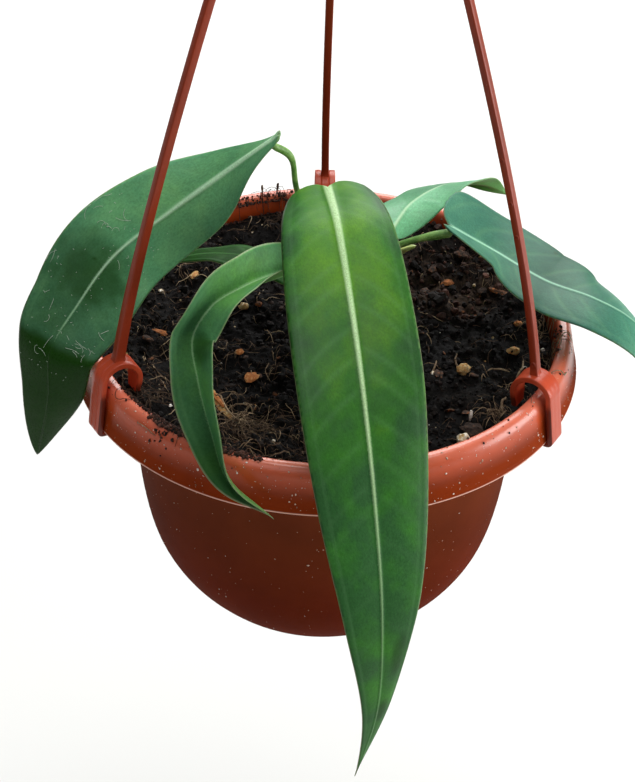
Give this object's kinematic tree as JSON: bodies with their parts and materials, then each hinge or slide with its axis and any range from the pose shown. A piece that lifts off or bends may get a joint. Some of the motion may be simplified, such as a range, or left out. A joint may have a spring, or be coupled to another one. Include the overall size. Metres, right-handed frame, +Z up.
{
  "type": "potted strap-leaved anthurium in a hanging pot",
  "caption": "Young long-leaved anthurium in a round plastic hanging pot with potting mix and a one-piece three-armed clip-on hanger with an open hook.",
  "frame": {"origin": "the point inside the top of the hook that bears on a ceiling hook or rail; the pot's axis runs straight down from it", "axes": "+Z up along the pot's axis; -Y towards the side that the long front leaf hangs over, which the picture shows; +X to the picture's right; the rear arm of the hanger is at +Y"},
  "size_m": [0.2045, 0.1859, 0.3448],
  "materials": {
    "moulded_plastic": "terracotta-coloured polypropylene, satin",
    "potting_mix": "damp peat and bark mix, matt",
    "crown_bark": "dry, matt",
    "dry_sheath": "papery, matt",
    "leaf_green": "living leaf, satin",
    "leaf_blue_green": "living leaf, satin"
  },
  "bodies": {
    "root": {"pot": "moulded_plastic", "hanger": "moulded_plastic", "potting_mix": "potting_mix", "crown": "crown_bark", "sheath": "dry_sheath", "leaf_front": "leaf_green", "leaf_left": "leaf_blue_green", "leaf_curled": "leaf_blue_green", "leaf_right": "leaf_blue_green", "leaf_back": "leaf_blue_green", "leaf_low": "leaf_blue_green"}
  },
  "joints": []
}
